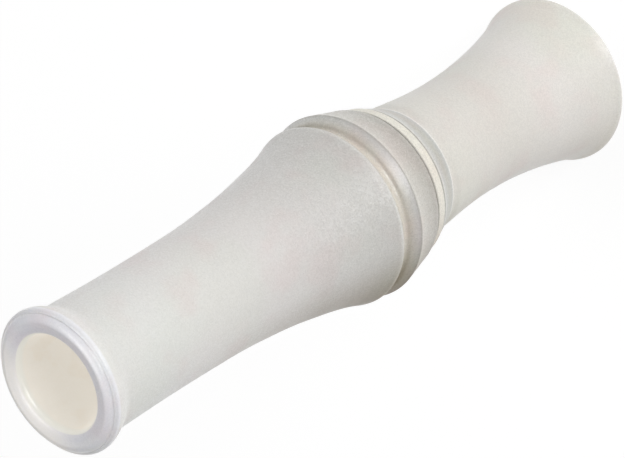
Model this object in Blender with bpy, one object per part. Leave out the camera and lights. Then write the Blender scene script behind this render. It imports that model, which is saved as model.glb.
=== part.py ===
"""A double-reed duck call that stands on its bell: barrel, insert, tone board, reeds, wedge and O-rings.

The call's axis is Z. The flat rim of the bell stands on z = 0 and the mouthpiece is at the top.
The dimensions are in millimetres, and mm() turns them into Blender's metres.
"""

import math

import bmesh
import bpy
from mathutils import Matrix

# Driving dimensions.
LENGTH = 140.0
SEGMENTS = 48
GAP = 0.3

# Heights of the landmarks along the call, measured up from the bell rim.
LIP_HEIGHT = LENGTH - 1.7
TUBE_TOP = 131.0
BULGE_HEIGHT = 69.2
GROOVE_HEIGHT = 67.3
CREST_HEIGHT = 64.5
BARREL_END = 56.8
BEAD_END = 53.8
CHAMFER_END = 48.8
TENON_TOP = 88.0
REED_STOP = 78.7
BOARD_SEAT = 68.5
BOARD_TIP = 122.5

# Radii of the outside.
LIP_RADIUS = 13.2
TUBE_RADIUS = 11.7
BULGE_RADIUS = 17.25
GROOVE_RADIUS = 15.9
CREST_RADIUS = 17.7
BARREL_END_RADIUS = 15.7
CHAMFER_RADIUS = 12.8
WAIST_RADIUS = 11.7
RIM_RADIUS = 16.7

# Radii of the inside.
MOUTH_BORE = 8.7
MOUTH_ROUND = 1.3
SOCKET_BORE = 9.65
TENON_RADIUS = 9.35
O_RING_WIRE = 0.85
O_RING_GROOVE = 7.75
O_RING_HEIGHTS = {"rear_o_ring": 64.0, "front_o_ring": 73.5}
COUNTERBORE = 7.5
BOARD_BORE = 6.4
THROAT_BORE = 5.0
BELL_BORE = 14.8
BELL_FLARE = 15.0

# The tone board and what lies on it. The flat that holds the reeds is the plane y = 0.
BOARD_RADIUS = 7.2
BOARD_DROP = 1.6
BOARD_STATIONS = 10
CHANNEL_RADIUS = 3.0
CHANNEL_REAR = 0.0
CHANNEL_FRONT = 0.7
CHANNEL_TIP = 117.5
REED_WIDTH = 12.4
REED_PIVOT = 83.5
LOWER_REED = {"bottom": GAP, "thickness": 0.25, "tip": 122.1, "clip": 0.0}
UPPER_REED = {"bottom": 0.85, "thickness": 0.3, "tip": 121.5, "clip": 3.0}
WEDGE_BOTTOM = 1.45
WEDGE_RADIUS = COUNTERBORE - 0.4


def mm(value):
    return value / 1000.0


def clear_scene():
    for item in list(bpy.data.objects):
        bpy.data.objects.remove(item, do_unlink=True)


def finish(name, colour, roughness, transmission=0.0):
    material = bpy.data.materials.new(name)
    material.use_nodes = True
    shader = material.node_tree.nodes["Principled BSDF"]
    shader.inputs["Base Color"].default_value = (*colour, 1.0)
    shader.inputs["Roughness"].default_value = roughness
    shader.inputs["Metallic"].default_value = 0.0
    shader.inputs["Transmission Weight"].default_value = transmission
    material.diffuse_color = (*colour, 1.0)
    return material


def new_object(name, mesh, material, parent=None):
    item = bpy.data.objects.new(name, mesh)
    bpy.context.collection.objects.link(item)
    if material:
        mesh.materials.append(material)
    if parent:
        item.parent = parent
        item.matrix_parent_inverse = Matrix.Translation(-parent.location)
    return item


def joint_empty(name, location):
    """An empty on a joint's axis, which carries the pieces that move there."""
    empty = bpy.data.objects.new(name, None)
    empty.location = [mm(value) for value in location]
    empty.empty_display_size = mm(5.0)
    bpy.context.collection.objects.link(empty)
    return empty


def spline(points, pieces):
    """A smooth curve through (radius, height) points, with a number of pieces between each pair."""
    ends = [points[0], *points, points[-1]]
    curve = []
    for before, start, end, after in zip(ends, ends[1:], ends[2:], ends[3:]):
        for i in range(pieces):
            t = i / pieces
            curve.append(tuple(
                b + 0.5 * t * ((c - a) + t * ((2 * a - 5 * b + 4 * c - d) + t * (3 * b - 3 * c + d - a)))
                for a, b, c, d in zip(before, start, end, after)
            ))
    return [*curve, points[-1]]


def ellipse(centre, half_width, half_height, start, end, pieces):
    """An elliptical arc in the (radius, height) plane, from start to end in degrees."""
    arc = []
    for i in range(pieces + 1):
        turn = math.radians(start + (end - start) * i / pieces)
        arc.append((centre[0] + half_width * math.cos(turn), centre[1] + half_height * math.sin(turn)))
    return arc


def turned(name, outline, material, parent=None):
    """Turns a closed (radius, height) outline about Z. The outline runs down its outer side."""
    mesh = bpy.data.meshes.new(name)
    points = [(mm(radius), 0.0, mm(height)) for radius, height in outline]
    edges = [(i, (i + 1) % len(points)) for i in range(len(points))]
    mesh.from_pydata(points, edges, [])
    item = new_object(name, mesh, material, parent)
    turn = item.modifiers.new("Turn", "SCREW")
    turn.axis = "Z"
    turn.steps = SEGMENTS
    turn.render_steps = SEGMENTS
    turn.use_merge_vertices = True
    turn.merge_threshold = 0.00001
    turn.use_smooth_shade = True
    return item


def lofted(name, rings, material):
    """Skins a list of rings, each a list of (x, y, height) points, and caps both ends."""
    form = bmesh.new()
    loops = [[form.verts.new([mm(value) for value in point]) for point in ring] for ring in rings]
    count = len(loops[0])
    for lower, upper in zip(loops, loops[1:]):
        for i in range(count):
            form.faces.new((lower[i], lower[(i + 1) % count], upper[(i + 1) % count], upper[i]))
    form.faces.new(loops[0])
    form.faces.new(loops[-1])
    bmesh.ops.recalc_face_normals(form, faces=form.faces)
    mesh = bpy.data.meshes.new(name)
    form.to_mesh(mesh)
    form.free()
    return new_object(name, mesh, material)


def circle(radius, centre_y, height, sides):
    """A ring of points with no corner at the height of its centre, so that it cuts flat faces cleanly."""
    turns = [2 * math.pi * (i + 0.5) / sides for i in range(sides)]
    return [(radius * math.cos(a), centre_y + radius * math.sin(a), height) for a in turns]


def boolean(target, tool, operation):
    modifier = target.modifiers.new(operation.title(), "BOOLEAN")
    modifier.operation = operation
    modifier.solver = "EXACT"
    modifier.object = tool
    tool.hide_render = True
    tool.display_type = "WIRE"


def barrel_outline():
    middle = (MOUTH_BORE + MOUTH_ROUND, LENGTH - 0.3 - MOUTH_ROUND)
    inner_round = ellipse(middle, MOUTH_ROUND, MOUTH_ROUND, 180, 100, 5)
    dome = [(10.6, 139.88), (11.3, LENGTH), (11.95, 139.8), (12.4, 139.42)]
    crease = [(12.6, 139.08), (12.85, 139.02)]
    rim = [(LIP_RADIUS - 0.08, 138.75), (LIP_RADIUS, LIP_HEIGHT), (13.06, 137.5)]
    back_of_lip = [(12.6, 136.4), (12.15, 135.6), (11.85, 134.8), (11.75, 133.4)]
    swell = spline([
        (TUBE_RADIUS, TUBE_TOP), (11.6, 123.0), (11.65, 113.0), (11.9, 102.2), (12.4, 95.2),
        (13.15, 88.2), (14.05, 82.6), (14.9, 77.9), (15.9, 73.6), (16.85, 70.5),
    ], 2)
    bulge = [(BULGE_RADIUS - 0.1, BULGE_HEIGHT + 0.45), (BULGE_RADIUS, BULGE_HEIGHT), (16.9, 68.5)]
    groove = ellipse((17.3, GROOVE_HEIGHT), 17.3 - GROOVE_RADIUS, 1.3, 115, 240, 5)
    collar = [(17.2, 65.3), (CREST_RADIUS, CREST_HEIGHT), (17.55, 63.9)]
    cone = [(16.95, 61.5), (16.35, 59.2), (BARREL_END_RADIUS, BARREL_END + 0.3), (15.4, BARREL_END)]
    socket = [(SOCKET_BORE + 0.5, BARREL_END), (SOCKET_BORE, BARREL_END + 0.8), (SOCKET_BORE, TENON_TOP + 1.4)]
    mouth = [(MOUTH_BORE, TENON_TOP + 2.8), (MOUTH_BORE, 112.0)]
    return [*inner_round, *dome, *crease, *rim, *back_of_lip, *swell, *bulge, *groove, *collar, *cone, *socket, *mouth]


def insert_outline():
    tenon = [(8.9, TENON_TOP), (TENON_RADIUS, TENON_TOP - 0.6)]
    for height in sorted(O_RING_HEIGHTS.values(), reverse=True):
        top = height + O_RING_WIRE + 0.2
        bottom = height - O_RING_WIRE - 0.2
        tenon += [(TENON_RADIUS, top), (O_RING_GROOVE, top), (O_RING_GROOVE, bottom), (TENON_RADIUS, bottom)]
    shoulder = BARREL_END - GAP
    bead = [(TENON_RADIUS, shoulder), (14.95, shoulder), (15.3, shoulder - 0.3), (14.95, BEAD_END + 0.3)]
    notch = [(14.45, BEAD_END), (14.6, BEAD_END - 0.35)]
    chamfer = [(13.75, 51.2), (CHAMFER_RADIUS + 0.05, CHAMFER_END + 0.2), (CHAMFER_RADIUS - 0.12, CHAMFER_END - 0.3)]
    bell = spline([
        (12.6, 46.2), (12.2, 42.0), (11.85, 37.4), (WAIST_RADIUS, 31.6), (11.95, 24.6), (12.6, 18.2),
        (13.5, 12.4), (14.45, 7.8), (15.3, 4.3), (15.95, 2.1), (16.45, 1.0),
    ], 2)
    rim = [(RIM_RADIUS, 0.5), (RIM_RADIUS - 0.05, 0.2), (RIM_RADIUS - 0.3, 0.0), (BELL_BORE + 0.3, 0.0)]
    horn = []
    for height in (0.4, 2.0, 4.5, 8.0, 12.5, 18.0, 25.0, 34.0, 46.0):
        horn.append((THROAT_BORE + (BELL_BORE - THROAT_BORE) * math.exp(-height / BELL_FLARE), height))
    seat = BOARD_SEAT - GAP
    ledge = REED_STOP - 2 * GAP
    throat = [(THROAT_BORE, seat), (BOARD_BORE, seat), (BOARD_BORE, ledge)]
    mouth = [(COUNTERBORE, ledge), (COUNTERBORE, TENON_TOP)]
    return [*tenon, *bead, *notch, *chamfer, *bell, *rim, *horn, *throat, *mouth]


def o_ring(name, height, material, parent):
    centre = (O_RING_GROOVE + 0.1 + O_RING_WIRE, height)
    outline = ellipse(centre, O_RING_WIRE, O_RING_WIRE, 90, -225, 7)
    return turned(name, outline, material, parent)


def board_top(height):
    """How far the top of the tone board has curved down from the flat at this height."""
    run = max(0.0, (height - TENON_TOP) / (BOARD_TIP - TENON_TOP))
    return -BOARD_DROP * run * run


def board_ring(height, radius):
    """The D-shaped section of the tone board: a half round below, and the reed's face on top."""
    top = board_top(height)
    corner = math.asin(top / radius)
    sweep = math.pi + 2 * corner
    sides = 16
    turns = [math.pi - corner + sweep * i / sides for i in range(sides + 1)]
    return [(radius * math.cos(a), radius * math.sin(a), height) for a in turns]


def tone_board(material):
    start = REED_STOP - GAP
    body = TENON_TOP - 4.0
    heights = [start, body] + [
        body + (BOARD_TIP - 1.0 - body) * i / BOARD_STATIONS for i in range(1, BOARD_STATIONS + 1)
    ]
    rings = [board_ring(height, BOARD_RADIUS) for height in heights]
    rings.append(board_ring(BOARD_TIP, BOARD_RADIUS - 1.0))
    board = lofted("tone_board", rings, material)
    sides = SEGMENTS // 2
    stub = BOARD_BORE - GAP
    boolean(board, lofted("stub_form", [
        circle(stub - 0.3, 0.0, BOARD_SEAT, sides),
        circle(stub, 0.0, BOARD_SEAT + 0.4, sides),
        circle(stub, 0.0, REED_STOP, sides),
    ], None), "UNION")
    boolean(board, lofted("channel_cutter", [
        circle(CHANNEL_RADIUS, CHANNEL_REAR, BOARD_SEAT - 1.0, 16),
        circle(CHANNEL_RADIUS, CHANNEL_REAR, REED_STOP + 2.0, 16),
        circle(CHANNEL_RADIUS, CHANNEL_FRONT, CHANNEL_TIP - 1.5, 16),
        circle(CHANNEL_RADIUS * 0.5, CHANNEL_FRONT, CHANNEL_TIP, 16),
    ], None), "DIFFERENCE")
    return board


def reed(name, shape, material, parent):
    """A flat reed, square at its clamped end, rounded at its tip and clipped at one front corner."""
    half = REED_WIDTH / 2
    corner = 1.5
    tip = shape["tip"]
    clip = shape["clip"]
    right = [(half, tip - clip), (half - clip, tip)] if clip else rounded_corner(half, tip, corner, 0)
    left = rounded_corner(-half, tip, corner, 90)
    tail = REED_STOP + GAP
    outline = [(-half, tail), (half, tail), *right, *left]
    bottom = shape["bottom"]
    top = bottom + shape["thickness"]
    rings = [[(x, y, height) for x, height in outline] for y in (bottom, top)]
    piece = lofted(name, rings, material)
    piece.parent = parent
    piece.matrix_parent_inverse = Matrix.Translation(-parent.location)
    return piece


def rounded_corner(x, tip, radius, start):
    """Points round a corner of a reed's tip, at x and at the height of the tip."""
    side = math.copysign(1.0, x)
    points = []
    for i in range(4):
        turn = math.radians(start + 30 * i)
        points.append((x - side * radius + radius * math.cos(turn), tip - radius + radius * math.sin(turn)))
    return points


def wedge(material):
    """The cork that clamps the reeds' tails: a round back against the counterbore, and a flat face."""
    start = math.asin(WEDGE_BOTTOM / WEDGE_RADIUS)
    sweep = math.pi - 2 * start
    turns = [start + sweep * i / 12 for i in range(13)]
    rings = []
    for height, shrink in ((REED_STOP + GAP, 0.0), (TENON_TOP - 0.8, 0.0), (TENON_TOP - 0.2, 0.6)):
        radius = WEDGE_RADIUS - shrink
        flat = WEDGE_BOTTOM
        rings.append([(radius * math.cos(a), max(flat, radius * math.sin(a)), height) for a in turns])
    return lofted("reed_wedge", rings, material)


def build():
    clear_scene()
    pearl = finish("frosted_pearl_barrel", (0.80, 0.79, 0.76), 0.45, 0.15)
    cream = finish("frosted_pearl_insert", (0.80, 0.77, 0.71), 0.42, 0.15)
    board_plastic = finish("tone_board_plastic", (0.78, 0.77, 0.72), 0.25, 0.3)
    film = finish("reed_film", (0.72, 0.74, 0.76), 0.3, 0.4)
    cork = finish("wedge_cork", (0.50, 0.34, 0.20), 0.85)
    rubber = finish("o_ring_rubber", (0.03, 0.03, 0.03), 0.55)

    seal_height = sum(O_RING_HEIGHTS.values()) / len(O_RING_HEIGHTS)
    barrel_axis = joint_empty("barrel_axis", (0.0, 0.0, seal_height))
    turned("barrel", barrel_outline(), pearl, barrel_axis)
    turned("insert", insert_outline(), cream)
    for name, height in O_RING_HEIGHTS.items():
        o_ring(name, height, rubber, barrel_axis)
    tone_board(board_plastic)
    for name, shape in (("lower_reed", LOWER_REED), ("upper_reed", UPPER_REED)):
        middle = shape["bottom"] + shape["thickness"] / 2
        reed(name, shape, film, joint_empty(name + "_pivot", (0.0, middle, REED_PIVOT)))
    wedge(cork)


build()
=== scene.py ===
"""A frosted pearl duck call, standing on its bell: the looks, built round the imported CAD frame."""

import math

import bmesh
import bpy
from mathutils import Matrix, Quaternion, Vector


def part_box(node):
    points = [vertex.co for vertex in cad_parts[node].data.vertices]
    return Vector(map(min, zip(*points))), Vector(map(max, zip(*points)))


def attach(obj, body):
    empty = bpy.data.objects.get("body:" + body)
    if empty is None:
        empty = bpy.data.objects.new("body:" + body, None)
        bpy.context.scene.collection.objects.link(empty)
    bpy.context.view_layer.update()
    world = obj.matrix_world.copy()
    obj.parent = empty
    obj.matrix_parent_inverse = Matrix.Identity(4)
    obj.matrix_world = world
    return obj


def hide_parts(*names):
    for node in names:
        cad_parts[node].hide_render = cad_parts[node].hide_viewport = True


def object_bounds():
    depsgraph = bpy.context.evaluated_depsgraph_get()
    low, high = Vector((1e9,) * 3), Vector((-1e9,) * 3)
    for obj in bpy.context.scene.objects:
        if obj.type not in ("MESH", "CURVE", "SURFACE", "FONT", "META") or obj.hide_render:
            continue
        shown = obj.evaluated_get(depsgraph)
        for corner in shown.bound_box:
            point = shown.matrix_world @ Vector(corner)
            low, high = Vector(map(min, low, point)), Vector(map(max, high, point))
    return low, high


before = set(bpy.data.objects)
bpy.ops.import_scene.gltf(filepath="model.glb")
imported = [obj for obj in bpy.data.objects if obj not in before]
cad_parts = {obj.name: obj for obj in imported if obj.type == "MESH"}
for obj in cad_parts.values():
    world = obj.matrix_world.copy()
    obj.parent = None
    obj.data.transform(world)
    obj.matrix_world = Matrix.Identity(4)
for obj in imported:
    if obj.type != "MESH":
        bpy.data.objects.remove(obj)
cad_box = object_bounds()

MM = 0.001

# How finely the turned pieces are made, and the round on their corners.
TURN_STEPS = 160
CURVE_PIECES = 6
CORNER = 0.22 * MM

# An edge that turns further than this is sharp: SHARP_TURN for outlines and cut pieces, CREASE_TURN for
# the rest. An edge shorter than SLIVER, left by a cut, is merged away.
SHARP_TURN = math.radians(35.0)
CREASE_TURN = math.radians(40.0)
SLIVER = 0.004 * MM

# The camera is in front of the call and above it, looks down at its middle, and is rolled over.
CAMERA_PLACE = Vector((0.0, -0.39143, 0.42712))
CAMERA_AIM = Vector((-0.000415, 0.0, 0.07373))
CAMERA_ROLL = math.radians(-121.661)
CAMERA_LENS = 171.19
SENSOR = 36.0

# Where the colour changes: at the lip, and on its far side, which is painted lighter as if lit; in the
# bore, which is given a painted glow;
# on the ring round the mouth; and towards the side that is painted with shade.
BARREL_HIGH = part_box("barrel")[1]
INSERT_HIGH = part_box("insert")[1]
LIP_START = BARREL_HIGH.z - 2.2 * MM
LIP_FULL = BARREL_HIGH.z - 1.3 * MM
LIP_FAR_LIGHT_START = 2.0 * MM
LIP_FAR_LIGHT_FULL = 9.0 * MM
BORE_RADIUS = 9.15 * MM
BORE_BLUR = 0.08 * MM
RING_RADIUS = 10.3 * MM
RING_BLUR = 0.1 * MM
# The side that is painted with shade, and where that painted shade starts and is full.
SHADED_SIDE = (-0.92, 0.38, 0.0)
SHADED_SIDE_START = 4.0 * MM
SHADED_SIDE_FULL = 16.0 * MM

# The pearl's pattern, in waves or cells to a millimetre, and its tints. The brown patches in the bore and
# the tint towards one side are painted shade.
CLOUDS = 0.11
DRIFT = 0.045
FLAKES = 4.6
SHADE_PATCHES = 0.16
FROST = 2.6
SIDE_SHADE_TINT = (0.63, 0.565, 0.47)
RING_TINT = (0.97, 0.97, 0.985)
SHADE_PATCH_COLOUR = (0.34, 0.28, 0.21)

# A painted glow: the barrel's bore emits light, standing in for light that comes through the walls, and the
# share of that glow that is lost at the lip.
PAINTED_BORE_GLOW = 0.455
PAINTED_GLOW_COLOUR = (1.0, 0.94, 0.83, 1.0)
PAINTED_GLOW_LOSS = 0.35

# The tone board, the reeds and the wedge, in millimetres. The board's flat is the plane y = 0, with the
# reeds over it. The steps of an EASE say how far up from the end, and how much narrower the piece is there.
BOARD_RADIUS = 7.2
BOARD_START = 78.4
BOARD_RUN = 80.0
BOARD_SHOULDER = 88.0
BOARD_DROP = 1.6
BOARD_TIP = 1.0
BOARD_EDGE = 0.07
STUB_RADIUS = 6.1
STUB_TOP = 78.7
STUB_EASE = ((0.0, 0.3), (0.12, 0.09), (0.4, 0.0))
CHANNEL_RADIUS = 3.0
CHANNEL_TURN = 80.7
CHANNEL_END = 117.5
CHANNEL_RISE = 0.7
REED_CORNER = 1.5
REED_EDGE = 0.07
REED_CLIP = 3.0
DIMPLE_HEIGHT = 112.0
DIMPLE_RADIUS = 1.6
DIMPLE_RISE = 0.2
WEDGE_RADIUS = 7.1
WEDGE_FLAT = 1.45
WEDGE_ROUND = 0.6
WEDGE_CORNER_TURN = 0.03
WEDGE_CORNER_CUT = 0.1
WEDGE_EASE = ((0.0, 0.25), (0.08, 0.08), (0.25, 0.0))

# The stage: a pale floor, one soft light on the near side and one above, in metres and watts.
FLOOR_HALF = 6.0
FLOOR_DROP = 0.1 * MM
FLOOR_TONE = (0.18, 0.18, 0.18, 1.0)
FLOOR_LIGHT = (1.0, 1.0, 1.0, 1.0)
FLOOR_GLOW = 0.86
ROOM_LEVEL = 0.22
KEY_OFFSET = Vector((0.0, -0.72, 0.19))
KEY_SIZE = 0.34
KEY_POWER = 3.0
TOP_OFFSET = Vector((0.10, 0.07, 0.94))
TOP_SIZE = 0.6
TOP_POWER = 4.3


# ---------------------------------------------------------------- meshes

def link(name, mesh):
    piece = bpy.data.objects.new(name, mesh)
    bpy.context.scene.collection.objects.link(piece)
    return piece


def from_bmesh(name, form):
    bmesh.ops.recalc_face_normals(form, faces=form.faces)
    mesh = bpy.data.meshes.new(name)
    form.to_mesh(mesh)
    form.free()
    mesh.shade_smooth()
    mesh.set_sharp_from_angle(angle=CREASE_TURN)
    return link(name, mesh)


def cad_outline(node):
    """The closed (radius, height) outline of a turned CAD node on its +X side, outer side first."""
    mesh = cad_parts[node].data
    spots = {
        vertex.index: (round(vertex.co.x, 6), round(vertex.co.z, 6))
        for vertex in mesh.vertices
        if abs(vertex.co.y) < 1e-6 and vertex.co.x > 0
    }
    links = {}
    for edge in mesh.edges:
        a, b = (spots.get(index) for index in edge.vertices)
        if a and b and a != b:
            links.setdefault(a, set()).add(b)
            links.setdefault(b, set()).add(a)
    start = max(links, key=lambda spot: spot[1])
    outline = [start, max(links[start])]
    while True:
        ahead = [spot for spot in links[outline[-1]] if spot != outline[-2]]
        if not ahead or ahead[0] == start:
            return [Vector(spot) for spot in outline]
        outline.append(ahead[0])


def turn_at(before, here, after):
    return (here - before).angle(after - here)


def spline(points, pieces):
    """A smooth curve through the points. Each slope leans to the shorter side, so it can't swing out."""
    ends = [2 * points[0] - points[1], *points, 2 * points[-1] - points[-2]]
    slopes = []
    for before, here, after in zip(ends, ends[1:], ends[2:]):
        back, ahead = (here - before).length, (after - here).length
        lean = (here - before) * (ahead / back) + (after - here) * (back / ahead)
        slopes.append(lean / (back + ahead))
    curve = []
    for i, (start, end) in enumerate(zip(points, points[1:])):
        chord = (end - start).length
        for step in range(pieces):
            t = step / pieces
            blend = t * t * (3 - 2 * t)
            leave = slopes[i] * chord * t * (1 - t) ** 2
            arrive = slopes[i + 1] * chord * t * t * (1 - t)
            curve.append(start.lerp(end, blend) + leave - arrive)
    return [*curve, points[-1]]


def rounded(before, corner, after, radius):
    """A small round in place of a corner, kept within the edges beside it."""
    reach_in = min(radius, 0.4 * (corner - before).length)
    reach_out = min(radius, 0.4 * (after - corner).length)
    start = corner + (before - corner).normalized() * reach_in
    end = corner + (after - corner).normalized() * reach_out
    return [start.lerp(corner, t).lerp(corner.lerp(end, t), t) for t in (0.0, 0.2, 0.4, 0.6, 0.8, 1.0)]


def refined(outline):
    """The CAD outline with smooth curves between its corners, and a small round on each corner."""
    count = len(outline)
    corners = [
        i for i in range(count)
        if turn_at(outline[i - 1], outline[i], outline[(i + 1) % count]) > SHARP_TURN
    ]
    fine = []
    for here, ahead in zip(corners, [*corners[1:], corners[0] + count]):
        run = [outline[i % count] for i in range(here, ahead + 1)]
        curve = spline(run, CURVE_PIECES) if len(run) > 2 else run
        before = outline[here - 1] if not fine else fine[-1]
        fine += rounded(before, curve[0], curve[1], CORNER)
        fine += curve[1:-1]
    return fine


def turned(name, outline, widest):
    """Turns a closed (radius, height) outline about Z, no wider than the CAD piece."""
    form = bmesh.new()
    rings = []
    for step in range(TURN_STEPS):
        angle = 2 * math.pi * step / TURN_STEPS
        across, along = math.cos(angle), math.sin(angle)
        rings.append([
            form.verts.new((min(spot.x, widest) * across, min(spot.x, widest) * along, spot.y))
            for spot in outline
        ])
    count = len(outline)
    for ring, following in zip(rings, [*rings[1:], rings[0]]):
        for i in range(count):
            j = (i + 1) % count
            form.faces.new((ring[i], following[i], following[j], ring[j]))
    return from_bmesh(name, form)


def lofted(name, rings):
    """Skins rings of points and caps both ends."""
    form = bmesh.new()
    loops = [[form.verts.new(point) for point in ring] for ring in rings]
    count = len(loops[0])
    for lower, upper in zip(loops, loops[1:]):
        for i in range(count):
            j = (i + 1) % count
            form.faces.new((lower[i], lower[j], upper[j], upper[i]))
    form.faces.new(loops[0])
    form.faces.new(loops[-1])
    return from_bmesh(name, form)


def apply_modifiers(piece):
    graph = bpy.context.evaluated_depsgraph_get()
    mesh = bpy.data.meshes.new_from_object(piece.evaluated_get(graph))
    piece.modifiers.clear()
    piece.data = mesh
    mesh.shade_smooth()
    mesh.set_sharp_from_angle(angle=SHARP_TURN)


def combine(piece, tool, operation):
    modifier = piece.modifiers.new(operation, "BOOLEAN")
    modifier.operation = operation
    modifier.solver = "EXACT"
    modifier.object = tool
    apply_modifiers(piece)
    bpy.data.objects.remove(tool, do_unlink=True)


# ---------------------------------------------------------------- materials

class Nodes:
    """A material's node tree, with short calls for the nodes used here."""

    def __init__(self, name):
        self.material = bpy.data.materials.new(name)
        self.material.use_nodes = True
        self.tree = self.material.node_tree
        self.shader = self.tree.nodes["Principled BSDF"]
        self.place = self.add("ShaderNodeTexCoord").outputs["Object"]

    def add(self, kind, **settings):
        node = self.tree.nodes.new(kind)
        for key, value in settings.items():
            setattr(node, key, value)
        return node

    def join(self, source, target):
        if isinstance(source, (int, float, tuple)):
            target.default_value = source
        else:
            self.tree.links.new(source, target)

    def fixed(self, **values):
        """Sets a shader socket to a value that is the same all over."""
        for key, value in values.items():
            self.shader.inputs[key.replace("_", " ")].default_value = value

    def math(self, operation, a, b=0.0, c=0.0):
        node = self.add("ShaderNodeMath", operation=operation)
        for value, socket in zip((a, b, c), node.inputs):
            self.join(value, socket)
        return node.outputs[0]

    def vector(self, operation, a, b=(0.0, 0.0, 0.0)):
        node = self.add("ShaderNodeVectorMath", operation=operation)
        self.join(a, node.inputs[0])
        if operation == "SCALE":
            self.join(b, node.inputs["Scale"])
        else:
            self.join(b, node.inputs[1])
        return node.outputs["Value" if operation in ("LENGTH", "DOT_PRODUCT") else "Vector"]

    def noise(self, scale, detail=3.0, roughness=0.5, stretch=(1.0, 1.0, 1.0)):
        """Noise with about this many waves to a millimetre."""
        node = self.add("ShaderNodeTexNoise")
        self.join(self.vector("MULTIPLY", self.place, stretch), node.inputs["Vector"])
        node.inputs["Scale"].default_value = scale / MM
        node.inputs["Detail"].default_value = detail
        node.inputs["Roughness"].default_value = roughness
        return node.outputs["Fac"]

    def cells(self, scale):
        """Cells with about this many to a millimetre: the node, for its distance and colour."""
        node = self.add("ShaderNodeTexVoronoi")
        self.join(self.place, node.inputs["Vector"])
        node.inputs["Scale"].default_value = scale / MM
        return node

    def ramp(self, value, low, high, to_low=0.0, to_high=1.0, shape="SMOOTHSTEP"):
        node = self.add("ShaderNodeMapRange", interpolation_type=shape)
        for item, socket in zip((value, low, high, to_low, to_high), node.inputs):
            self.join(item, socket)
        return node.outputs[0]

    def mix(self, share, a, b, blend="MIX"):
        node = self.add("ShaderNodeMix", data_type="RGBA", blend_type=blend)
        self.join(share, node.inputs["Factor"])
        for value, key in ((a, "A"), (b, "B")):
            sockets = [s for s in node.inputs if s.name == key and s.type == "RGBA"]
            self.join((*value, 1.0) if isinstance(value, tuple) else value, sockets[0])
        return [s for s in node.outputs if s.type == "RGBA"][0]

    def bump(self, height, distance, strength):
        node = self.add("ShaderNodeBump")
        node.inputs["Strength"].default_value = strength
        node.inputs["Distance"].default_value = distance
        self.join(height, node.inputs["Height"])
        return node.outputs["Normal"]

    def bands(self, stops):
        """A colour by height: stops of a height in millimetres and a colour, going up."""
        low, high = stops[0][0], stops[-1][0]
        node = self.add("ShaderNodeValToRGB")
        self.join(self.ramp(self.height(), low * MM, high * MM, shape="LINEAR"), node.inputs[0])
        elements = node.color_ramp.elements
        while len(elements) < len(stops):
            elements.new(1.0)
        for element, (height, colour) in zip(elements, stops):
            element.position = (height - low) / (high - low)
            element.color = (*colour, 1.0)
        return node.outputs[0]

    def by_height(self, zone):
        """A value that changes between two heights: both heights in millimetres, then the value at each."""
        low, high, at_low, at_high = zone
        return self.ramp(self.height(), low * MM, high * MM, at_low, at_high)

    def axis(self, letter):
        split = self.add("ShaderNodeSeparateXYZ")
        self.join(self.place, split.inputs[0])
        return split.outputs[letter]

    def height(self):
        return self.axis("Z")

    def radius(self):
        flat = self.vector("MULTIPLY", self.place, (1.0, 1.0, 0.0))
        return self.vector("LENGTH", flat)


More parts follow.
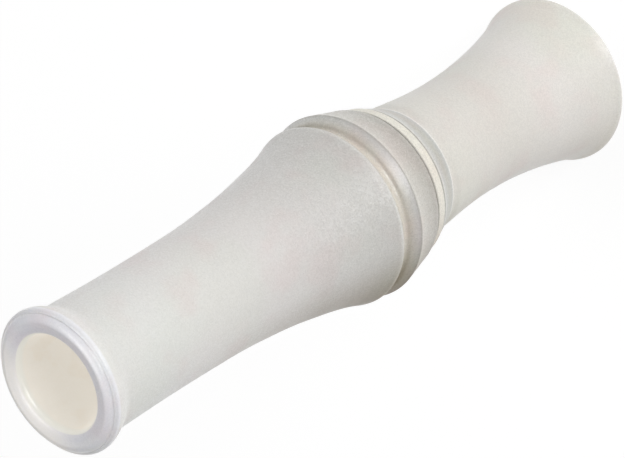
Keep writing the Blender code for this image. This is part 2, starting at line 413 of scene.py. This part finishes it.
def pearl(name, bands, pink, green, inside, sparkle, grain_and_glints, side_shade_zone, lip=None):
    """Frosted pearl plastic: faint tinted clouds, and fine flakes under a clear skin that catch the light.

    bands are the tones by height, with painted shade and painted highlights among them, and inside colours
    the bore. sparkle is how far the flakes tilt.
    grain holds two heights in millimetres, and how strongly the flakes' tone varies at each; where it is
    strong, the varying tone paints glints where the highlight falls.
    smoke says in the same way how strongly the plastic is painted with a brown shade, and dulled, towards
    one side.
    lip holds the tones of the mouth: inside it, and a lighter tint painted on its far side as if lit. It is
    left out where there is none.
    """
    n = Nodes(name)
    clouds = n.noise(CLOUDS, detail=2.0)
    drift = n.noise(DRIFT, detail=1.0)
    flakes = n.cells(FLAKES)
    chance = n.add("ShaderNodeSeparateColor")
    n.join(flakes.outputs["Color"], chance.inputs[0])
    bore = n.ramp(n.radius(), BORE_RADIUS - BORE_BLUR, BORE_RADIUS + BORE_BLUR, 1.0, 0.0)
    # A mask towards the side where shade falls: painted shade there, and a duller skin.
    side_shade = n.ramp(n.vector("DOT_PRODUCT", n.place, SHADED_SIDE), SHADED_SIDE_START, SHADED_SIDE_FULL)
    side_shade = n.math("MULTIPLY", side_shade, n.by_height(side_shade_zone))

    colour = n.mix(n.ramp(clouds, 0.48, 0.70), n.bands(bands), pink, blend="MULTIPLY")
    colour = n.mix(n.ramp(drift, 0.48, 0.66), colour, green, blend="MULTIPLY")
    centred = n.math("SUBTRACT", chance.outputs[0], 0.5)
    # The flakes' tone varies at random; where this is made strong, it paints glints where the highlight
    # falls.
    shade = n.math("MULTIPLY_ADD", centred, n.by_height(grain_and_glints), 1.0)
    grey = n.add("ShaderNodeCombineColor")
    for socket in grey.inputs[:3]:
        n.join(shade, socket)
    colour = n.mix(1.0, colour, grey.outputs[0], blend="MULTIPLY")
    # Painted shade: the colour turns brown and darker towards one side.
    colour = n.mix(side_shade, colour, SIDE_SHADE_TINT, blend="MULTIPLY")
    # Brown patches of painted shade in the bore, placed by noise.
    shade_patch = n.ramp(n.noise(SHADE_PATCHES, detail=3.0), 0.54, 0.68, 0.0, 0.35)
    inner = n.mix(shade_patch, inside, SHADE_PATCH_COLOUR)
    polished = bore
    if lip:
        lip_inside, lip_far_light = lip
        at_lip = n.ramp(n.height(), LIP_START, LIP_FULL)
        ring = n.ramp(n.radius(), RING_RADIUS - RING_BLUR, RING_RADIUS + RING_BLUR, 1.0, 0.0)
        # Painted light: the lip's far side is given a lighter tint, as if lit.
        side = n.ramp(n.axis("Y"), LIP_FAR_LIGHT_START, LIP_FAR_LIGHT_FULL)
        colour = n.mix(n.math("MULTIPLY", at_lip, ring), colour, RING_TINT, blend="MULTIPLY")
        colour = n.mix(n.math("MULTIPLY", at_lip, side), colour, lip_far_light)
        inner = n.mix(at_lip, inner, lip_inside)
        polished = n.math("MAXIMUM", bore, at_lip)
        # Painted glow: the bore emits light in place of light through the walls, less of it at the lip.
        left = n.math("MULTIPLY_ADD", at_lip, -PAINTED_GLOW_LOSS * PAINTED_BORE_GLOW, PAINTED_BORE_GLOW)
        n.join(n.math("MULTIPLY", bore, left), n.shader.inputs["Emission Strength"])
        n.fixed(Emission_Color=PAINTED_GLOW_COLOUR)
    n.join(n.mix(bore, colour, inner), n.shader.inputs["Base Color"])

    frost = n.noise(FROST, detail=4.0, roughness=0.6)
    n.join(n.bump(frost, 0.02 * MM, 0.4), n.shader.inputs["Normal"])
    tilt = n.vector("SUBTRACT", flakes.outputs["Color"], (0.5, 0.5, 0.5))
    tilt = n.vector("SCALE", tilt, n.math("MULTIPLY_ADD", polished, -0.9 * sparkle, sparkle))
    normal = n.vector("ADD", n.add("ShaderNodeNewGeometry").outputs["Normal"], tilt)
    n.join(n.vector("NORMALIZE", normal), n.shader.inputs["Coat Normal"])
    coat = n.ramp(chance.outputs[1], 0.0, 1.0, 0.1, 0.15 + 2.0 * sparkle)
    # Towards the painted shade the coat and specular are turned down as well.
    shine = n.math("MULTIPLY_ADD", side_shade, -0.85, 1.0)
    n.join(n.math("MULTIPLY", coat, shine), n.shader.inputs["Coat Weight"])
    n.join(n.math("MULTIPLY", shine, 0.5), n.shader.inputs["Specular IOR Level"])
    n.join(n.ramp(clouds, 0.3, 0.7, 0.33, 0.41), n.shader.inputs["Roughness"])
    n.join(n.math("MULTIPLY_ADD", bore, 0.6, 0.35), n.shader.inputs["Subsurface Weight"])
    n.fixed(Metallic=0.0, Subsurface_Radius=(1.0, 0.95, 0.85), Subsurface_Scale=0.005)
    n.fixed(IOR=1.6, Coat_Roughness=0.42, Coat_IOR=1.8)
    return n.material


def board_plastic():
    """Clear natural plastic, satin where it was machined: fine tool marks run across it."""
    n = Nodes("machined_board")
    marks = n.noise(1.2, detail=3.0, stretch=(0.15, 0.15, 6.0))
    haze = n.noise(0.25, detail=3.0)
    colour = n.mix(n.ramp(haze, 0.35, 0.7), (0.72, 0.73, 0.70), (0.80, 0.79, 0.73))
    n.join(colour, n.shader.inputs["Base Color"])
    n.join(n.ramp(marks, 0.3, 0.7, 0.22, 0.38), n.shader.inputs["Roughness"])
    n.join(n.bump(marks, 0.02 * MM, 0.6), n.shader.inputs["Normal"])
    n.fixed(Subsurface_Weight=0.3, Subsurface_Radius=(1.0, 0.95, 0.85), Subsurface_Scale=0.003)
    n.fixed(IOR=1.58)
    return n.material


def reed_film():
    """Milky polyester film: glossy, with faint drawn streaks along it."""
    n = Nodes("reed_film")
    streaks = n.noise(0.8, detail=2.0, stretch=(3.0, 1.0, 0.08))
    colour = n.mix(n.ramp(streaks, 0.35, 0.7), (0.66, 0.70, 0.74), (0.76, 0.79, 0.82))
    n.join(colour, n.shader.inputs["Base Color"])
    n.join(n.ramp(streaks, 0.3, 0.7, 0.16, 0.28), n.shader.inputs["Roughness"])
    n.join(n.bump(streaks, 0.008 * MM, 0.5), n.shader.inputs["Normal"])
    n.fixed(Subsurface_Weight=0.2, Subsurface_Radius=(1.0, 1.0, 1.0), Subsurface_Scale=0.001)
    n.fixed(IOR=1.64)
    return n.material


def cork():
    """Pressed cork: pale and dark granules with pits between them."""
    n = Nodes("pressed_cork")
    grains = n.cells(1.3)
    tone = n.add("ShaderNodeSeparateColor")
    n.join(grains.outputs["Color"], tone.inputs[0])
    colour = n.mix(tone.outputs[0], (0.34, 0.20, 0.10), (0.62, 0.43, 0.25))
    speck = n.ramp(n.noise(3.0, detail=4.0), 0.56, 0.66)
    n.join(n.mix(speck, colour, (0.12, 0.065, 0.03)), n.shader.inputs["Base Color"])
    pits = n.math("ADD", grains.outputs["Distance"], n.math("MULTIPLY", speck, 0.0006))
    n.join(n.bump(pits, 0.4 * MM, 0.6), n.shader.inputs["Normal"])
    n.join(n.ramp(speck, 0.0, 1.0, 0.75, 0.92), n.shader.inputs["Roughness"])
    return n.material


def rubber():
    """Black nitrile with a faint bloom."""
    n = Nodes("o_ring_rubber")
    bloom = n.noise(0.5, detail=4.0, roughness=0.6)
    colour = n.mix(n.ramp(bloom, 0.45, 0.75), (0.018, 0.018, 0.019), (0.05, 0.05, 0.052))
    n.join(colour, n.shader.inputs["Base Color"])
    n.join(n.ramp(bloom, 0.3, 0.7, 0.38, 0.55), n.shader.inputs["Roughness"])
    n.join(n.bump(n.noise(4.0, detail=3.0), 0.01 * MM, 0.4), n.shader.inputs["Normal"])
    return n.material


# ---------------------------------------------------------------- pieces

def dress(piece, material, body, node):
    """Gives a piece its material and its body, and hides the CAD node that it stands for."""
    piece.data.materials.clear()
    piece.data.materials.append(material)
    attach(piece, body)
    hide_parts(node)
    return piece


def make_barrel():
    """From the tapered end up: cone, crest of the collar, groove, bulge, tube and lip."""
    piece = turned("barrel_shell", refined(cad_outline("barrel")), BARREL_HIGH.x)
    finish = pearl(
        "frosted_pearl_barrel",
        # Tones by height, with painted light and shade among them. Painted shade: the dark bands at the end
        # by the seam, the darker cone, the dark line on the crest, and the darker bulge, where its thick
        # wall lets less light through. Painted light: the light band under the crest, the light line on the
        # bulge's edge, and the warm groove, which is partly its tone and partly lightened against its
        # shade. The lip's tones are lilac, standing in for the cool light on its face, with a lighter band
        # at the rim for the light it catches.
        bands=[
            (56.6, (0.26, 0.245, 0.22)), (56.85, (0.26, 0.245, 0.22)), (57.05, (0.35, 0.33, 0.295)),
            (59.5, (0.40, 0.38, 0.34)), (63.4, (0.52, 0.50, 0.455)), (64.15, (0.58, 0.56, 0.52)),
            (64.35, (0.30, 0.28, 0.25)), (64.6, (0.34, 0.32, 0.29)), (64.8, (0.52, 0.515, 0.505)),
            (66.1, (0.59, 0.565, 0.51)), (67.3, (0.64, 0.60, 0.52)), (68.7, (0.54, 0.51, 0.45)),
            (69.1, (0.61, 0.60, 0.575)), (69.5, (0.50, 0.49, 0.465)), (82.0, (0.545, 0.53, 0.51)),
            (96.0, (0.60, 0.58, 0.56)), (112.0, (0.63, 0.61, 0.59)), (126.0, (0.635, 0.63, 0.61)),
            (138.1, (0.64, 0.63, 0.61)), (138.3, (0.735, 0.735, 0.765)), (139.0, (0.67, 0.67, 0.695)),
            (139.3, (0.735, 0.735, 0.765)), (140.0, (0.70, 0.70, 0.735)),
        ],
        pink=(1.0, 0.95, 0.955),
        green=(0.98, 1.0, 0.98),
        inside=(0.39, 0.375, 0.355),
        sparkle=0.45,
        grain_and_glints=(76.0, 98.0, 0.17, 0.07),
        side_shade_zone=(90.0, 124.0, 1.0, 0.1),
        # The lip's tones: inside the mouth, and the lighter tint painted on its far side as if lit.
        lip=((0.52, 0.53, 0.51), (0.79, 0.765, 0.74)),
    )
    return dress(piece, finish, "barrel", "barrel")


def make_insert():
    """From the bell up: bell, waist, chamfer, notch, bead, shoulder and tenon."""
    piece = turned("insert_body", refined(cad_outline("insert")), INSERT_HIGH.x)
    plain = (0.64, 0.615, 0.57)
    finish = pearl(
        "frosted_pearl_insert",
        # Tones by height, with painted light and shade among them. Painted light: the lighter bell, and the
        # light lines on the edges at 48.75 and 53.4 mm; the pale bead band is partly its tone and partly
        # painted light. Painted shade: the darker chamfer, the dark line in the notch and the dark seam
        # line on the shoulder.
        bands=[
            (0.0, (0.70, 0.68, 0.64)), (15.0, (0.71, 0.685, 0.65)), (28.0, (0.65, 0.625, 0.58)),
            (48.6, plain), (48.75, (0.76, 0.75, 0.71)), (49.0, (0.76, 0.75, 0.71)),
            (49.2, (0.43, 0.435, 0.42)), (51.2, (0.44, 0.43, 0.38)), (52.9, (0.50, 0.50, 0.48)),
            (53.4, (0.66, 0.65, 0.62)), (53.6, (0.34, 0.32, 0.28)), (53.85, (0.34, 0.32, 0.28)),
            (54.1, (0.69, 0.66, 0.58)), (56.2, (0.71, 0.68, 0.60)), (56.35, (0.36, 0.34, 0.31)),
            (56.43, (0.38, 0.36, 0.33)), (56.48, plain), (88.0, plain),
        ],
        pink=(1.0, 0.96, 0.965),
        green=(0.975, 1.0, 0.97),
        inside=(0.66, 0.635, 0.58),
        sparkle=0.16,
        grain_and_glints=(47.5, 49.0, 0.11, 0.24),
        side_shade_zone=(30.0, 50.0, 0.3, 1.0),
    )
    return dress(piece, finish, "insert", "insert")


def make_o_ring(node, finish):
    low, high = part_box(node)
    wire = (high.z - low.z) / 2
    middle = (low.z + high.z) / 2
    centre = high.x - wire
    sides = 28
    outline = []
    for i in range(sides):
        angle = math.pi / 2 - 2 * math.pi * i / sides
        outline.append(Vector((centre + wire * math.cos(angle), middle + wire * math.sin(angle))))
    return dress(turned(node + "_rubber", outline, high.x), finish, "seals", node)


def disc(radius, across, height, sides=56):
    """A ring of points round the line x = 0, y = across, with no corner level with its centre."""
    turns = [2 * math.pi * (i + 0.5) / sides for i in range(sides)]
    return [(radius * MM * math.cos(a), (across + radius * math.sin(a)) * MM, height * MM) for a in turns]


def soften(piece, width):
    """Small bevels on the sharp edges, and no slivers left from the cuts."""
    bevel = piece.modifiers.new("soften", "BEVEL")
    bevel.width = width * MM
    bevel.segments = 2
    bevel.limit_method = "ANGLE"
    bevel.angle_limit = CREASE_TURN
    bevel.use_clamp_overlap = True
    apply_modifiers(piece)
    form = bmesh.new()
    form.from_mesh(piece.data)
    bmesh.ops.dissolve_degenerate(form, dist=SLIVER, edges=form.edges)
    form.to_mesh(piece.data)
    form.free()


def make_tone_board():
    """The half-round board with its curved face, the stub that plugs into the insert, and its channel."""
    bottom, tip = (corner.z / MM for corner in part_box("tone_board"))
    stations = [(BOARD_START, BOARD_RADIUS)]
    for i in range(31):
        stations.append((BOARD_RUN + (tip - BOARD_TIP - BOARD_RUN) * i / 30, BOARD_RADIUS))
    for i in range(1, 6):
        turn = math.radians(18.0 * i)
        height = tip - BOARD_TIP * (1 - math.sin(turn))
        stations.append((height, BOARD_RADIUS - BOARD_TIP * (1 - math.cos(turn))))
    rings = []
    for height, radius in stations:
        run = max(0.0, (height - BOARD_SHOULDER) / (tip - BOARD_SHOULDER))
        corner = math.asin(-BOARD_DROP * run * run / radius)
        turns = [math.pi - corner + (math.pi + 2 * corner) * i / 48 for i in range(49)]
        rings.append([(radius * MM * math.cos(a), radius * MM * math.sin(a), height * MM) for a in turns])
    board = lofted("tone_board_body", rings)
    stub = [disc(STUB_RADIUS - shrink, 0.0, bottom + rise) for rise, shrink in STUB_EASE]
    combine(board, lofted("stub", [*stub, disc(STUB_RADIUS, 0.0, STUB_TOP)]), "UNION")
    channel = [disc(CHANNEL_RADIUS, 0.0, bottom - 1.0), disc(CHANNEL_RADIUS, 0.0, CHANNEL_TURN)]
    for i in range(7):
        turn = math.radians(13.0 * i)
        height = CHANNEL_END - CHANNEL_RADIUS * (1 - math.sin(turn))
        channel.append(disc(CHANNEL_RADIUS * math.cos(turn), CHANNEL_RISE, height))
    combine(board, lofted("channel", channel), "DIFFERENCE")
    soften(board, BOARD_EDGE)
    return dress(board, board_plastic(), "insert", "tone_board")


def make_reed(node, clip, dimple, finish):
    """A strip of film with bevelled edges and a rounded tip. It may have a clipped corner, or a dimple."""
    low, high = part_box(node)
    half = high.x / MM
    bottom, top = low.y / MM, high.y / MM
    tail, tip = low.z / MM, high.z / MM
    rings = []
    rows = 56
    for row in range(rows + 1):
        height = tail + (tip - tail) * math.sin(0.5 * math.pi * row / rows)
        past = max(0.0, height - tip + REED_CORNER)
        narrow = REED_CORNER - math.sqrt(max(0.0, REED_CORNER ** 2 - past ** 2))
        left = -half + narrow
        right = half - (max(0.0, height - tip + clip) if clip else narrow)
        across = [left + REED_EDGE + (right - left - 2 * REED_EDGE) * i / 30 for i in range(31)]
        lower = [(x, bottom) for x in across]
        upper = [(x, top) for x in reversed(across)]
        edge = [(right, bottom + REED_EDGE), (right, top - REED_EDGE)]
        other = [(left, top - REED_EDGE), (left, bottom + REED_EDGE)]
        ring = []
        for x, y in [*lower, *edge, *upper, *other]:
            reach = min(1.0, math.hypot(x, height - DIMPLE_HEIGHT) / DIMPLE_RADIUS)
            rise = dimple * (1 - reach * reach) ** 2
            ring.append((x * MM, (y + rise) * MM, height * MM))
        rings.append(ring)
    return dress(lofted(node + "_film", rings), finish, node, node)


def make_wedge():
    """The cork, with a round back against the counterbore and a flat face over the reeds."""
    low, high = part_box("reed_wedge")
    start, end = low.z / MM, high.z / MM
    stations = [(start + rise, shrink) for rise, shrink in WEDGE_EASE]
    first = stations[-1][0]
    for i in range(1, 13):
        stations.append((first + (end - WEDGE_ROUND - first) * i / 12, 0.0))
    for turn in (0.5, 1.0, 1.5):
        height = end - WEDGE_ROUND * (1 - math.sin(turn))
        stations.append((height, WEDGE_ROUND * (1 - math.cos(turn))))
    rings = []
    for height, shrink in stations:
        radius = WEDGE_RADIUS - shrink
        corner = math.asin(WEDGE_FLAT / radius) + WEDGE_CORNER_TURN
        turns = [corner + (math.pi - 2 * corner) * i / 40 for i in range(41)]
        back = [(radius * math.cos(a), radius * math.sin(a)) for a in turns]
        reach = radius * math.cos(corner) - WEDGE_CORNER_CUT
        face = [(-reach + 2 * reach * i / 16, WEDGE_FLAT) for i in range(17)]
        rings.append([(x * MM, y * MM, height * MM) for x, y in [*back, *face]])
    return dress(lofted("reed_wedge_cork", rings), cork(), "insert", "reed_wedge")


make_barrel()
make_insert()
black = rubber()
for ring in ("front_o_ring", "rear_o_ring"):
    make_o_ring(ring, black)
make_tone_board()
film = reed_film()
make_reed("lower_reed", clip=0.0, dimple=DIMPLE_RISE, finish=film)
make_reed("upper_reed", clip=REED_CLIP, dimple=0.0, finish=film)
make_wedge()


# ---------------------------------------------------------------- stage, light and camera

def make_floor():
    mesh = bpy.data.meshes.new("floor")
    corners = [
        (across * FLOOR_HALF, along * FLOOR_HALF, -FLOOR_DROP)
        for across, along in ((-1, -1), (1, -1), (1, 1), (-1, 1))
    ]
    mesh.from_pydata(corners, [], [(0, 1, 2, 3)])
    floor = link("floor", mesh)
    n = Nodes("pale_floor")
    n.fixed(Base_Color=FLOOR_TONE, Roughness=0.95)
    n.fixed(Emission_Color=FLOOR_LIGHT, Emission_Strength=FLOOR_GLOW)
    mesh.materials.append(n.material)


def soft_light(name, place, aim, size, power):
    light = bpy.data.lights.new(name, "AREA")
    light.shape = "DISK"
    light.size = size
    light.energy = power
    item = bpy.data.objects.new(name, light)
    item.location = place
    item.rotation_mode = "QUATERNION"
    item.rotation_quaternion = (aim - place).to_track_quat("-Z", "Y")
    bpy.context.scene.collection.objects.link(item)


def make_world(level):
    world = bpy.data.worlds.new("soft_room")
    world.use_nodes = True
    back = world.node_tree.nodes["Background"]
    back.inputs["Color"].default_value = (1.0, 1.0, 1.0, 1.0)
    back.inputs["Strength"].default_value = level
    bpy.context.scene.world = world


def make_camera():
    data = bpy.data.cameras.new("camera")
    data.sensor_width = SENSOR
    data.lens = CAMERA_LENS
    data.clip_start = 0.01
    camera = bpy.data.objects.new("camera", data)
    camera.location = CAMERA_PLACE
    camera.rotation_mode = "QUATERNION"
    look = (CAMERA_AIM - CAMERA_PLACE).to_track_quat("-Z", "Y")
    camera.rotation_quaternion = look @ Quaternion((0.0, 0.0, 1.0), CAMERA_ROLL)
    bpy.context.scene.collection.objects.link(camera)
    bpy.context.scene.camera = camera


make_floor()
make_world(ROOM_LEVEL)
middle = (cad_box[0] + cad_box[1]) / 2
soft_light("key", middle + KEY_OFFSET, middle, KEY_SIZE, KEY_POWER)
soft_light("top", middle + TOP_OFFSET, middle, TOP_SIZE, TOP_POWER)
make_camera()
bpy.context.scene.view_settings.view_transform = "Standard"
